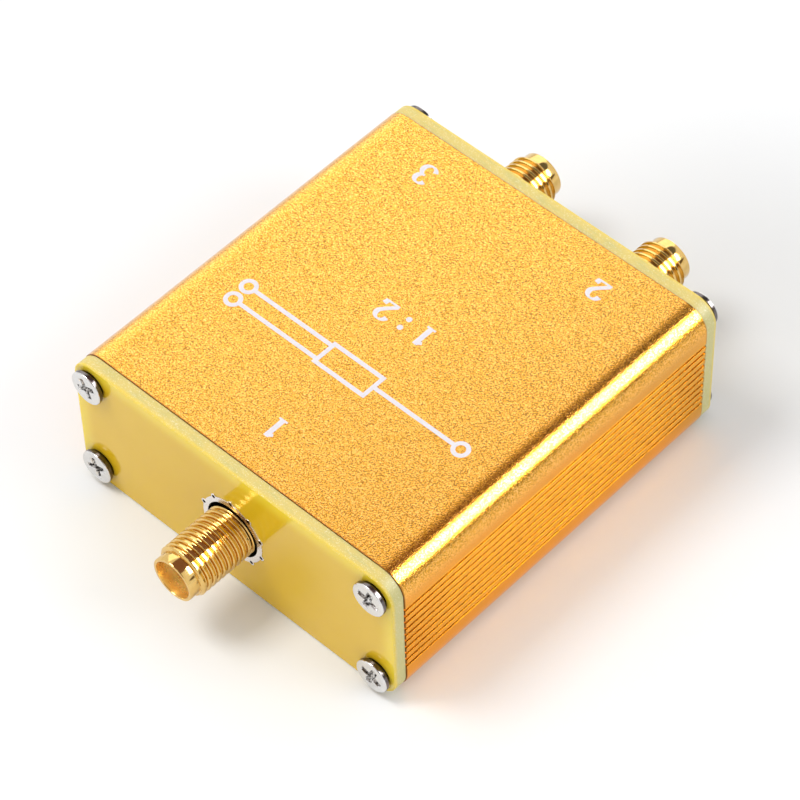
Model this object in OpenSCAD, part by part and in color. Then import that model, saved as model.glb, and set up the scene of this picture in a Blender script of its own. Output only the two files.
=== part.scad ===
// Two-way radio-frequency power splitter in an extruded case with three coaxial jacks
// The case stands on Z = 0, its input jack points to -Y and its two output jacks point to +Y

/* [Case] */
// Width of the extruded case, from side to side
case_w = 45; // [42:0.5:60]
// Length of the extruded case, without the end panels
case_l = 45.8; // [42:0.2:80]
// Height of the extruded case
case_h = 18.5; // [17.5:0.5:26]
// Radius of the four long edges
edge_r = 2.8; // [1.2:0.1:4]
// Thickness of the roof and of the floor
roof_wall = 1.5; // [1:0.1:2]
// Thickness of the two side walls
side_wall = 1.9; // [1.4:0.1:2.4]

/* [Side grooves] */
// Number of grooves on each side
groove_count = 10; // [4:1:11]
// Distance between grooves
groove_pitch = 1.03; // [0.8:0.01:1.1]
// Width of a groove
groove_w = 0.4; // [0.2:0.05:0.6]
// Depth of a groove
groove_d = 0.2; // [0.1:0.05:0.5]

/* [Screw ports and screws] */
// Distance from the case's side to a screw's axis
screw_inset_x = 2.65; // [2.4:0.05:4]
// Distance from the case's roof or floor to a screw's axis
screw_inset_z = 2.75; // [2.4:0.05:4]
// Diameter of the screw's shank
screw_d = 2.5; // [2:0.1:3]
// Length of the screw below its head
screw_l = 6; // [4:0.5:12]
// Diameter of the screw's flat head
head_d = 4.1; // [4:0.1:4.8]
// Height of the straight rim of the head
head_rim = 0.5; // [0.1:0.05:0.6]
// Width across the cross recess in the head
recess_w = 2.5; // [1.6:0.1:3]
// Width of one slot of the cross recess
recess_slot = 0.6; // [0.4:0.05:0.8]
// Depth of the cross recess
recess_d = 0.7; // [0.4:0.05:0.8]
// Diameter of a screw hole in a panel, on whose edge the head's cone sits
screw_hole_d = 3.3; // [3.2:0.05:3.7]
// Gap between the shank and its port in the case
port_gap = 0.1; // [0.05:0.05:0.2]
// Wall of a screw port
port_wall = 0.9; // [0.6:0.1:1.2]
// Width of the slit along a screw port
port_slit = 1; // [0.6:0.1:1.4]

/* [End panels] */
// Thickness of an end panel
panel_t = 1.6; // [1:0.1:2.4]
// Distance from a panel's edge to the case's outline
panel_inset = 0.1; // [0:0.05:0.3]
// Gap between a jack's thread and its hole in the panel
jack_hole_gap = 0.375; // [0.2:0.025:0.6]

/* [Tinned pads] */
// Width of the pad ring round a jack's hole
pad_w = 0.75; // [0.5:0.05:1.2]
// Thickness of the pad
pad_t = 0.08; // [0.04:0.01:0.15]
// Number of plated holes in a pad
via_count = 10; // [6:1:12]
// Diameter of a plated hole
via_d = 0.4; // [0.3:0.05:0.5]
// Diameter of the round land of a plated hole
via_land_d = 0.72; // [0.6:0.02:0.9]
// Distance from the jack's hole to the middle of a plated hole
via_inset = 0.67; // [0.5:0.01:0.8]

/* [Jacks] */
// Height of the jacks' axes above the underside
jack_z = 8.8; // [7.5:0.1:10.5]
// Distance of each output jack from the middle
output_x = 9.2; // [8:0.1:11]
// How far a jack stands out of its panel
jack_reach = 8.7; // [7:0.1:12]
// Major diameter of the jack's thread
thread_d = 6.25; // [6.1:0.05:6.35]
// Diameter of the plain collar at the jack's end
collar_d = 5.35; // [5.1:0.05:5.5]
// Length of the plain collar
collar_l = 1.3; // [0.8:0.1:1.8]
// Pitch of the jack's thread, whose turns are closed rings
thread_pitch = 0.705; // [0.6:0.005:0.8]
// Depth of the thread, down to the diameter of the plain neck
thread_depth = 0.375; // [0.3:0.005:0.4]
// Width of the flat on a turn's crest
crest_w = 0.12; // [0.06:0.01:0.13]
// Least length of the plain neck, within the panel's hole
neck_l = 1.6; // [0.8:0.1:2]
// Chamfer on the rim of the collar
rim_chamfer = 0.12; // [0.05:0.01:0.15]
// Diameter of the socket that takes the plug
socket_d = 4.6; // [4.5:0.05:4.7]
// Depth of the socket, down to the insulator
socket_depth = 1.9; // [1.5:0.1:2.2]
// Side of the square flange behind the panel
flange_w = 6.35; // [6.35:0.05:8]
// Thickness of the flange
flange_t = 1.8; // [1.4:0.1:2.2]
// Length of a leg that grips the board
leg_l = 4; // [2.5:0.1:5]
// Width of a leg
leg_w = 1; // [0.8:0.05:1.3]
// Height of a leg
leg_h = 1.05; // [0.8:0.05:1.1]
// Diameter of the insulator's seat in the jack
insulator_seat_d = 4.1; // [3.8:0.05:4.2]
// Gap between the insulator and its seat, and round the contact
insulator_gap = 0.05; // [0.02:0.01:0.08]
// Thickness of the shoulder that stops the insulator
shoulder_t = 0.5; // [0.4:0.05:0.8]
// Diameter of the hole in that shoulder
shoulder_hole_d = 2.4; // [2:0.1:3]
// Diameter of the socket contact
contact_d = 1.27; // [1.2:0.01:1.4]
// Diameter of the hole in the socket contact
contact_bore_d = 0.94; // [0.9:0.01:0.96]
// Depth of the hole in the socket contact
contact_bore_l = 3; // [2.5:0.1:4]
// Width of the slits in the socket contact
contact_slit = 0.16; // [0.1:0.02:0.2]
// Thickness of the contact's square tail
tail_t = 0.8; // [0.6:0.05:0.85]
// Length of the tail on the board
tail_l = 2.6; // [1.5:0.1:4]

/* [Circuit board] */
// Thickness of the circuit board
board_t = 1.6; // [1:0.1:1.7]
// Gap between the board's side and the case's wall
board_side_gap = 0.2; // [0.1:0.05:0.4]
// Gap between the board's upper face and the rail above it
board_slot_gap = 0.15; // [0.05:0.05:0.3]
// Thickness of a board rail
rail_t = 1.2; // [0.8:0.1:1.6]
// How far a board rail stands out of the case's wall
rail_d = 1.6; // [1:0.1:2]

/* [Transformers and chips] */
// Width of a two-hole ferrite core
core_w = 7; // [6:0.1:8]
// Length of a core, along its holes
core_l = 6.2; // [5:0.1:7]
// Height of a core
core_h = 4.2; // [3.8:0.1:4.6]
// Radius of a core's long edges
core_edge_r = 1.8; // [1:0.1:1.8]
// Diameter of a hole in a core
core_hole_d = 1.8; // [1.7:0.1:2]
// Distance between the two holes of a core
core_hole_pitch = 2.9; // [2.6:0.1:3.1]
// Place of the matching transformer, along the board
matching_y = -8; // [-8.5:0.5:-7.5]
// Place of the splitting transformer, along the board
splitting_y = 4; // [3.5:0.5:4.5]
// Turns of the matching winding
matching_turns = 2; // [1:1:3]
// Turns of the splitting winding
splitting_turns = 3; // [1:1:3]
// Diameter of the winding wire
wire_d = 0.4; // [0.3:0.02:0.42]
// Distance between turns
turn_pitch = 0.45; // [0.43:0.01:0.48]
// Gap between a turn and the core's end face
turn_gap = 0.15; // [0.05:0.05:0.3]
// Place of the isolation resistor, along the board
resistor_y = 13; // [10:0.5:14]
// Length of the isolation resistor, across the board
resistor_l = 3.2; // [2:0.1:3.4]
// Width of the isolation resistor
resistor_w = 1.6; // [1.2:0.1:1.8]
// Height of the isolation resistor
resistor_h = 0.6; // [0.4:0.05:0.8]
// Place of the trimming capacitor, along the board
capacitor_y = -2; // [-3:0.5:-1]
// Length of the trimming capacitor, across the board
capacitor_l = 2; // [1.6:0.1:3.2]
// Width of the trimming capacitor
capacitor_w = 1.25; // [0.8:0.05:1.6]
// Height of the trimming capacitor
capacitor_h = 1.2; // [0.8:0.05:1.6]
// Length of a chip's metal end cap
cap_l = 0.45; // [0.3:0.05:0.6]
// How much a chip's ceramic is thinner than its end caps
cap_step = 0.04; // [0.02:0.01:0.1]

/* [Hidden] */
$fn = 64;
// Overlap that keeps a cut or a joint of two shapes clean
over = 0.1;
// Screw axes, from the case's middle
screw_x = case_w / 2 - screw_inset_x;
screw_dz = case_h / 2 - screw_inset_z;
port_r = screw_d / 2 + port_gap;
port_outer_r = port_r + port_wall;
// How far the head's flat face stands out of the panel when its cone sits on the hole's edge
head_proud = head_rim + (head_d - screw_hole_d) / 2;
cavity_w = case_w - 2 * side_wall;
// The tails of the contacts lie on the board, which sets its height
board_top = jack_z - tail_t / 2;
board_bottom = board_top - board_t;
board_w = cavity_w - 2 * board_side_gap;
board_l = case_l - 2 * flange_t;
jack_hole_r = thread_d / 2 + jack_hole_gap;
via_ring_r = jack_hole_r + via_inset;
// Length of a jack from its flange's front to its end
jack_l = panel_t + jack_reach;
thread_end = jack_l - collar_l;
thread_root_r = thread_d / 2 - thread_depth;
// The thread's flanks lean 30 degrees, and as many whole turns as fit end at the collar
flank_l = thread_depth * tan(30);
ring_count = floor((thread_end - neck_l) / thread_pitch);
insulator_back = shoulder_t - flange_t;
insulator_front = jack_l - socket_depth;
insulator_l = insulator_front - insulator_back;
turn_y = core_l / 2 + turn_gap + wire_d / 2;
jack_x = [0, output_x, -output_x];
jack_side = [-1, 1, 1];

// Rectangle with four round corners, its lower edge on the X axis
module rounded_section(w, h, r) {
  translate([r - w / 2, 0]) square([w - 2 * r, h]);
  translate([-w / 2, r]) square([w, h - 2 * r]);
  for (x = [r - w / 2, w / 2 - r], y = [r, h - r]) translate([x, y]) circle(r);
}

// Places a section's detail at the four screw axes, with +X and +Y towards the nearest corner
module at_screws() {
  translate([0, case_h / 2])
    for (x = [0, 1], y = [0, 1]) mirror([x, 0]) mirror([0, y]) translate([screw_x, screw_dz]) children();
}

// Turns a section in X and Y upright, so that its Y becomes Z and its depth runs to -Y
module upright() {
  rotate([90, 0, 0]) children();
}

// Places a jack's or pad's shape with +Z out of the case and its origin on the panel's inner face
module at_jack(i) {
  translate([jack_x[i], jack_side[i] * case_l / 2, jack_z])
    rotate([0, 0, jack_side[i] > 0 ? 180 : 0]) upright() children();
}

// Solid corner that surrounds a screw port, up to the case's walls
module port_block() {
  circle(port_outer_r);
  translate([0, -port_outer_r]) square([screw_inset_x, port_outer_r + screw_inset_z]);
  translate([-port_outer_r, 0]) square([port_outer_r + screw_inset_x, screw_inset_z]);
}

// Screw port with the slit that opens it to the inside
module port_opening() {
  circle(port_r);
  rotate(225) translate([0, -port_slit / 2]) square([port_outer_r + port_slit, port_slit]);
}

// Pair of rails on one side, with the board's slot between them
module rails() {
  translate([cavity_w / 2 - rail_d, board_bottom - rail_t]) square([rail_d + over, rail_t]);
  translate([cavity_w / 2 - rail_d, board_top + board_slot_gap]) square([rail_d + over, rail_t]);
}

module cavity_section() {
  difference() {
    translate([-cavity_w / 2, roof_wall]) square([cavity_w, case_h - 2 * roof_wall]);
    at_screws() port_block();
    for (side = [0, 1]) mirror([side, 0]) rails();
  }
}

module grooves() {
  for (side = [-1, 1], i = [0 : groove_count - 1])
    translate([side * case_w / 2, case_h / 2 + (i - (groove_count - 1) / 2) * groove_pitch])
      square([2 * groove_d, groove_w], center = true);
}

module case_shell() {
  color("#e8a520") upright() linear_extrude(case_l, center = true) difference() {
    rounded_section(case_w, case_h, edge_r);
    cavity_section();
    at_screws() port_opening();
    grooves();
  }
}

// Ring of plated holes, or of their lands, round a jack's axis
module via_ring(d) {
  for (i = [0 : via_count - 1]) rotate(90 + i * 360 / via_count) translate([via_ring_r, 0]) circle(d = d);
}

// Panel with its inner face on Y = 0 and holes for the jacks at the given places
module panel(jack_places) {
  color("#e3bd3f") upright() linear_extrude(panel_t) difference() {
    translate([0, panel_inset])
      rounded_section(case_w - 2 * panel_inset, case_h - 2 * panel_inset, edge_r - panel_inset);
    at_screws() circle(d = screw_hole_d);
    for (x = jack_places) translate([x, jack_z]) {
      circle(jack_hole_r);
      via_ring(via_d);
    }
  }
}

module front_panel() {
  translate([0, -case_l / 2, 0]) panel([0]);
}

module rear_panel() {
  translate([0, case_l / 2, 0]) rotate([0, 0, 180]) panel([-output_x, output_x]);
}

// Tinned copper ring on a panel's outer face
module pad(i) {
  color("#d4d4d8") at_jack(i) translate([0, 0, panel_t]) linear_extrude(pad_t) difference() {
    union() {
      circle(jack_hole_r + pad_w);
      via_ring(via_land_d);
    }
    circle(jack_hole_r);
    via_ring(via_d);
  }
}

// Screw with a countersunk head, +Z out of the panel and its origin on the panel's outer face
module panel_screw() {
  difference() {
    rotate_extrude() polygon([
      [0, head_proud], [head_d / 2, head_proud], [head_d / 2, head_proud - head_rim],
      [screw_d / 2, head_proud - head_rim - (head_d - screw_d) / 2],
      [screw_d / 2, head_proud - screw_l], [0, head_proud - screw_l]]);
    for (a = [0, 90]) rotate(a) translate([-recess_w / 2, -recess_slot / 2, head_proud - recess_d])
      cube([recess_w, recess_slot, recess_d + over]);
  }
}

module panel_screws() {
  color("#c9cacd") for (turn = [0, 180]) rotate([0, 0, turn])
    translate([0, -case_l / 2 - panel_t, 0]) upright() at_screws() panel_screw();
}

module circuit_board() {
  color("#2f6b3c") translate([-board_w / 2, -board_l / 2, board_bottom]) cube([board_w, board_l, board_t]);
}

// Half section of one turn of the thread, with its crest at the given height
function thread_turn(z) = [
  [thread_root_r, z - crest_w / 2 - flank_l], [thread_d / 2, z - crest_w / 2],
  [thread_d / 2, z + crest_w / 2], [thread_root_r, z + crest_w / 2 + flank_l]];

// Neck, threaded barrel and collar as one turned profile
module jack_barrel() {
  rotate_extrude() polygon([
    [0, -over], [thread_root_r, -over],
    for (i = [ring_count - 1 : -1 : 0]) each thread_turn(thread_end - (i + 0.5) * thread_pitch),
    [thread_root_r, thread_end], [collar_d / 2, thread_end],
    [collar_d / 2, jack_l - rim_chamfer], [collar_d / 2 - rim_chamfer, jack_l], [0, jack_l]]);
}

// Four legs that grip the board's edge from above and below
module jack_legs() {
  for (side = [-1, 1], y = [board_top - jack_z, board_bottom - jack_z - leg_h])
    translate([side * (flange_w - leg_w) / 2 - leg_w / 2, y, -flange_t - leg_l])
      cube([leg_w, leg_h, leg_l + over]);
}

module jack_body(i) {
  color("#d8ac4e") at_jack(i) difference() {
    union() {
      jack_barrel();
      translate([-flange_w / 2, -flange_w / 2, -flange_t]) cube([flange_w, flange_w, flange_t]);
      jack_legs();
    }
    translate([0, 0, insulator_front]) cylinder(d = socket_d, h = socket_depth + over);
    translate([0, 0, insulator_back]) cylinder(d = insulator_seat_d, h = insulator_l + over);
    translate([0, 0, -flange_t - over]) cylinder(d = shoulder_hole_d, h = flange_t);
  }
}

module jack_insulator(i) {
  color("#f4f2ea") at_jack(i) translate([0, 0, insulator_back]) difference() {
    cylinder(d = insulator_seat_d - 2 * insulator_gap, h = insulator_l);
    translate([0, 0, -over]) cylinder(d = contact_d + 2 * insulator_gap, h = insulator_l + 2 * over);
  }
}

module jack_contact(i) {
  color("#d8ac4e") at_jack(i) difference() {
    union() {
      translate([0, 0, insulator_back]) cylinder(d = contact_d, h = insulator_l);
      translate([-tail_t / 2, -tail_t / 2, -flange_t - tail_l])
        cube([tail_t, tail_t, tail_l + shoulder_t + over]);
    }
    translate([0, 0, insulator_front - contact_bore_l]) cylinder(d = contact_bore_d, h = contact_bore_l + over);
    for (a = [45, 135]) rotate(a)
      translate([-contact_d, -contact_slit / 2, insulator_front - contact_bore_l])
        cube([2 * contact_d, contact_slit, contact_bore_l + over]);
  }
}

// Two-hole ferrite core that stands on the board
module ferrite_core(y) {
  color("#3a3a3d") translate([0, y + core_l / 2, board_top]) upright() linear_extrude(core_l) difference() {
    rounded_section(core_w, core_h, core_edge_r);
    for (side = [-1, 1]) translate([side * core_hole_pitch / 2, core_h / 2]) circle(d = core_hole_d);
  }
}

// One closed turn through both holes of a core
module turn() {
  for (side = [-1, 1]) {
    translate([side * core_hole_pitch / 2, -turn_y, 0]) rotate([-90, 0, 0]) cylinder(d = wire_d, h = 2 * turn_y);
    translate([-core_hole_pitch / 2, side * turn_y, 0]) rotate([0, 90, 0]) cylinder(d = wire_d, h = core_hole_pitch);
    for (end = [-1, 1]) translate([side * core_hole_pitch / 2, end * turn_y, 0]) sphere(d = wire_d);
  }
}

// Turns of a winding, joined at one corner, with two leads down to the board
module winding(y, turns) {
  lowest = core_h / 2 - (turns - 1) / 2 * turn_pitch;
  color("#a8531f") translate([0, y, board_top]) {
    for (i = [0 : turns - 1]) translate([0, 0, lowest + i * turn_pitch]) turn();
    translate([core_hole_pitch / 2, turn_y, lowest]) cylinder(d = wire_d, h = (turns - 1) * turn_pitch);
    for (side = [-1, 1]) translate([side * core_hole_pitch / 2, -turn_y, 0]) cylinder(d = wire_d, h = lowest);
  }
}

// Chip with two metal end caps that stand out a little from its ceramic
module chip(l, w, h) {
  translate([over - l / 2, cap_step - w / 2, cap_step]) cube([l - 2 * over, w - 2 * cap_step, h - 2 * cap_step]);
  for (side = [-1, 1]) translate([side * (l - cap_l) / 2, 0, h / 2]) cube([cap_l, w, h], center = true);
}

module isolation_resistor() {
  color("#2b2b2e") translate([0, resistor_y, board_top]) chip(resistor_l, resistor_w, resistor_h);
}

module trimming_capacitor() {
  color("#b59a72") translate([0, capacitor_y, board_top]) chip(capacitor_l, capacitor_w, capacitor_h);
}

case_shell();
front_panel();
rear_panel();
pad(0);  // pad_1
pad(1);  // pad_2
pad(2);  // pad_3
panel_screws();
circuit_board();
jack_body(0);  // jack_1_body
jack_insulator(0);  // jack_1_insulator
jack_contact(0);  // jack_1_contact
jack_body(1);  // jack_2_body
jack_insulator(1);  // jack_2_insulator
jack_contact(1);  // jack_2_contact
jack_body(2);  // jack_3_body
jack_insulator(2);  // jack_3_insulator
jack_contact(2);  // jack_3_contact
ferrite_core(matching_y);  // matching_core
winding(matching_y, matching_turns);  // matching_winding
ferrite_core(splitting_y);  // splitting_core
winding(splitting_y, splitting_turns);  // splitting_winding
isolation_resistor();
trimming_capacitor();
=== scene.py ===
# Looks of a two-way radio-frequency power splitter, dressed on the frame of its solids
import math

import bmesh
import bpy
import numpy as np
from mathutils import Matrix, Vector
from mathutils.geometry import tessellate_polygon


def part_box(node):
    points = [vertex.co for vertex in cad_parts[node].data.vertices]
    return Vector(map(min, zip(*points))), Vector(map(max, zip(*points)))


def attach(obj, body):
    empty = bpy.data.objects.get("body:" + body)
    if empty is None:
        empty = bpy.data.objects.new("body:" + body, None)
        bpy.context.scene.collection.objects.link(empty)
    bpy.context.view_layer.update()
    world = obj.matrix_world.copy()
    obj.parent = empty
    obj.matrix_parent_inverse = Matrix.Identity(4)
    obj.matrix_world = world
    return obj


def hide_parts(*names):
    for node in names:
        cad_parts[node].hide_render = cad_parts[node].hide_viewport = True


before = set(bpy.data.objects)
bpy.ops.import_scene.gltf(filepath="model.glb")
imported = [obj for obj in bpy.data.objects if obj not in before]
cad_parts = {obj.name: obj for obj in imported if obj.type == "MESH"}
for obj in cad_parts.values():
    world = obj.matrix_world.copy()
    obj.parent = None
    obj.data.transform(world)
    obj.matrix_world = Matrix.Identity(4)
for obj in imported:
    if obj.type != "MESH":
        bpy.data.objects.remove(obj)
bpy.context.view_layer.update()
mm = 0.001


def nodeBox(name):
    # Lowest and highest corner of a solid, in millimetres
    low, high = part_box(name)
    return np.array(low) / mm, np.array(high) / mm


def nodeMiddle(name):
    low, high = nodeBox(name)
    return (low + high) / 2


caseLow, caseHigh = nodeBox("case_shell")
boardLow, boardHigh = nodeBox("circuit_board")
panelLow, panelHigh = nodeBox("front_panel")
caseWidth, caseLength, caseHeight = caseHigh - caseLow
panelThickness = panelHigh[1] - panelLow[1]
print("frame loaded:", len(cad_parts), "solids")

# Axes of a piece's own frame, as rows: across, up and out of the end it sits on
frontAxes = np.array([[1, 0, 0], [0, 0, 1], [0, -1, 0]])
rearAxes = np.array([[-1, 0, 0], [0, 0, 1], [0, 1, 0]])
printAxes = np.array([[-1, 0, 0], [0, -1, 0], [0, 0, 1]])  # print reads from the rear end


class Shape:
    # One piece: numbered points in millimetres, and the faces between them
    def __init__(self, axes=frontAxes, origin=(0, 0, 0)):
        self.points, self.faces, self.slots, self.flats = [], [], [], []
        self.count = 0
        self.seat(axes, origin)

    def seat(self, axes, origin):
        # Where the next grids are put
        self.axes, self.origin = axes, np.array(origin, float)

    def add(self, grid):
        # Points of a grid in the seat's frame; gives their numbers in the grid's shape
        flat = np.asarray(grid, float).reshape(-1, 3)
        numbers = self.count + np.arange(len(flat)).reshape(np.shape(grid)[:-1])
        self.points.append(flat @ self.axes + self.origin)
        self.count += len(flat)
        return numbers

    def put(self, faces, slot, flat=False):
        # Faces with one material slot, or with a slot for each; flat marks the faces of one plane
        self.faces.append(faces)
        self.slots.append(np.broadcast_to(slot, len(faces)))
        self.flats.append(np.full(len(faces), flat))

    def skin(self, numbers, slot=0, around=True):
        # Quads between neighbouring rows and columns; around joins the last column to the first
        here, after = (numbers, np.roll(numbers, -1, 1)) if around else (numbers[:, :-1], numbers[:, 1:])
        self.put(np.stack([here[:-1], after[:-1], after[1:], here[1:]], -1).reshape(-1, 4), slot)

    def cap(self, loops, facing):
        # Flat face inside the first loop and outside the others, turned to face out (1) or in (-1)
        points = np.concatenate(self.points)
        numbers = np.concatenate(loops)
        triangles = np.array(tessellate_polygon([points[loop].tolist() for loop in loops]))
        a, b, c = np.moveaxis(points[numbers[triangles]], 1, 0)
        wrong = np.cross(b - a, c - a) @ self.axes[2] * facing < 0
        triangles[wrong] = triangles[wrong][:, ::-1]
        self.put(numbers[triangles], 0, True)

    def build(self, name, finishes, sharpAngle=35):
        # The mesh object, with doubled points merged and smooth shading up to the sharp angle in degrees
        mesh = bpy.data.meshes.new(name)
        faces = [face for block in self.faces for face in block.tolist()]
        mesh.from_pydata(np.concatenate(self.points) * mm, [], faces)
        mesh.polygons.foreach_set("material_index", np.concatenate(self.slots))
        flat = mesh.attributes.new("flatFace", "BOOLEAN", "FACE")
        flat.data.foreach_set("value", np.concatenate(self.flats))
        work = bmesh.new()
        work.from_mesh(mesh)
        bmesh.ops.remove_doubles(work, verts=work.verts, dist=0.0005 * mm)
        work.to_mesh(mesh)
        work.free()
        for finish in finishes:
            mesh.materials.append(finish)
        mesh.shade_smooth()
        mesh.set_sharp_from_angle(angle=math.radians(sharpAngle))
        creaseCaps(mesh)
        piece = bpy.data.objects.new(name, mesh)
        bpy.context.scene.collection.objects.link(piece)
        # Flat faces stay flat next to small roundings
        even = piece.modifiers.new("evenNormals", "WEIGHTED_NORMAL")
        even.keep_sharp = True
        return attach(piece, "root")


def creaseCaps(mesh):
    # Edges with a flat face on one side only become sharp, so that the long thin triangles of a cap shade
    # as one plane
    flat = np.zeros(len(mesh.polygons), bool)
    mesh.attributes["flatFace"].data.foreach_get("value", flat)
    sizes = np.zeros(len(mesh.polygons), np.int32)
    mesh.polygons.foreach_get("loop_total", sizes)
    edges = np.zeros(len(mesh.loops), np.int32)
    mesh.loops.foreach_get("edge_index", edges)
    inCap = np.bincount(edges, np.repeat(flat, sizes), len(mesh.edges))
    uses = np.bincount(edges, None, len(mesh.edges))
    sharp = np.zeros(len(mesh.edges), bool)
    mesh.edges.foreach_get("use_edge_sharp", sharp)
    mesh.edges.foreach_set("use_edge_sharp", sharp | ((inCap > 0) & (inCap < uses)))
    mesh.attributes.remove(mesh.attributes["flatFace"])


def unit(vectors):
    return vectors / np.linalg.norm(vectors, axis=-1, keepdims=True)


def arc(radius, start, end, steps, centre=(0, 0)):
    # Points on a circle from one angle to another, in degrees
    turn = np.radians(np.linspace(start, end, steps))
    return np.stack([radius * np.cos(turn), radius * np.sin(turn)], 1) + centre


def hole(radius, centre, steps):
    # Clockwise circle, so that the wall faces into the hole
    return arc(radius, 360, 360 / steps, steps, centre)


def roundCorners(corners, radii, steps):
    # Every corner of a closed outline becomes an arc: its centre lies on the corner's bisector, and its
    # points swing evenly from one tangent point to the other
    corners = np.asarray(corners, float)
    radii = np.broadcast_to(radii, len(corners))[:, None]
    back = unit(np.roll(corners, 1, 0) - corners)
    ahead = unit(np.roll(corners, -1, 0) - corners)
    half = np.arccos(np.clip((back * ahead).sum(1, keepdims=True), -1, 1)) / 2
    centre = corners + unit(back + ahead) * radii / np.sin(half)
    first = corners + back * radii / np.tan(half) - centre
    last = corners + ahead * radii / np.tan(half) - centre
    swing = (math.pi - 2 * half)[:, None]
    share = np.linspace(0, 1, steps)[None, :, None]
    arcs = np.sin((1 - share) * swing) * first[:, None] + np.sin(share * swing) * last[:, None]
    arcs = arcs / np.sin(swing)
    return (centre[:, None] + arcs).reshape(-1, 2)


def rectangle(width, height, radius, steps, centre=(0, 0)):
    corners = np.array([[-1, -1], [1, -1], [1, 1], [-1, 1]]) * [width / 2, height / 2] + centre
    return roundCorners(corners, radius, steps)


def drawIn(loop, insets):
    # A closed outline moved into its material by each inset, every point along the mitre of its two sides
    side = unit(np.roll(loop, -1, 0) - loop)
    out = np.stack([side[:, 1], -side[:, 0]], 1)
    before = np.roll(out, 1, 0)
    mitre = (out + before) / (1 + (out * before).sum(1, keepdims=True))
    return loop[None] - mitre[None] * np.asarray(insets)[:, None, None]


def slab(shape, loops, low, high, rim, sideSlots):
    # A section carried straight from low to high, drawn in at both ends along a quarter round
    rimSteps = 4
    turn = np.linspace(0, math.pi / 2, rimSteps)
    inset = rim * (1 - np.sin(turn))
    lift = rim * (1 - np.cos(turn))
    insets = np.concatenate([inset, inset[::-1]])
    heights = np.concatenate([low + lift, high - lift[::-1]])
    ends = []
    for loop, slot in zip(loops, sideSlots):
        flat = drawIn(loop, insets)
        rise = np.broadcast_to(heights[:, None, None], flat.shape[:2] + (1,))
        numbers = shape.add(np.concatenate([flat, rise], 2))
        shape.skin(numbers, slot)
        ends.append(numbers)
    shape.cap([numbers[0] for numbers in ends], -1)
    shape.cap([numbers[-1] for numbers in ends], 1)


# Materials

class Wire:
    # A socket in a node tree; arithmetic on it adds Math nodes
    def __init__(self, graph, socket):
        self.graph, self.socket = graph, socket

    def math(self, operation, first, second=0.0):
        return self.graph.node("ShaderNodeMath", {"operation": operation}, {0: first, 1: second})

    def __add__(self, other):
        return self.math("ADD", self, other)

    def __sub__(self, other):
        return self.math("SUBTRACT", self, other)

    def __rsub__(self, other):
        return self.math("SUBTRACT", other, self)

    def __mul__(self, other):
        return self.math("MULTIPLY", self, other)

    def __abs__(self):
        return self.math("ABSOLUTE", self)

    def above(self, level):
        return self.math("GREATER_THAN", self, level)

    __radd__, __rmul__ = __add__, __mul__


class Graph:
    # A node tree that is being drawn: node() adds one node and gives one of its outputs
    def __init__(self, tree):
        self.tree = tree
        tree.nodes.clear()

    def node(self, kind, settings=None, sockets=None, output=0):
        made = self.tree.nodes.new(kind)
        for key, value in (settings or {}).items():
            setattr(made, key, value)
        for key, value in (sockets or {}).items():
            if isinstance(value, Wire):
                self.tree.links.new(value.socket, made.inputs[key])
            else:
                made.inputs[key].default_value = value
        return Wire(self, made.outputs[output]) if made.outputs else None

    def place(self):
        return self.node("ShaderNodeTexCoord", output=3)  # Object coordinates, in metres

    def noise(self, place, size, detail):
        # Cloud noise whose lumps are about size millimetres across
        sockets = {"Vector": place, "Scale": 1 / (size * mm), "Detail": detail, "Roughness": 0.5}
        return self.node("ShaderNodeTexNoise", None, sockets)

    def stretch(self, place, factors):
        return self.node("ShaderNodeVectorMath", {"operation": "MULTIPLY"}, {0: place, 1: factors})

    def axis(self, place, number):
        return self.node("ShaderNodeSeparateXYZ", None, {0: place}, number)

    def blend(self, factor, first, second):
        first, second = [c if isinstance(c, Wire) else (*c, 1) for c in (first, second)]
        return self.node("ShaderNodeMix", {"data_type": "RGBA"}, {0: factor, 6: first, 7: second}, 2)

    def span(self, value, low, high, newLow=0.0, newHigh=1.0):
        # Smooth step from low to high
        sockets = {"Value": value, "From Min": low, "From Max": high, "To Min": newLow, "To Max": newHigh}
        return self.node("ShaderNodeMapRange", {"interpolation_type": "SMOOTHSTEP"}, sockets)

    def bump(self, height, depth):
        # Relief whose full height is depth millimetres
        sockets = {"Height": height, "Distance": depth * mm, "Strength": 1.0}
        return self.node("ShaderNodeBump", None, sockets)

    def surface(self, sockets):
        shader = self.node("ShaderNodeBsdfPrincipled", None, sockets)
        self.node("ShaderNodeOutputMaterial", None, {"Surface": shader})


def newFinish(name):
    material = bpy.data.materials.new(name)
    material.use_nodes = True
    return material, Graph(material.node_tree)


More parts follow.
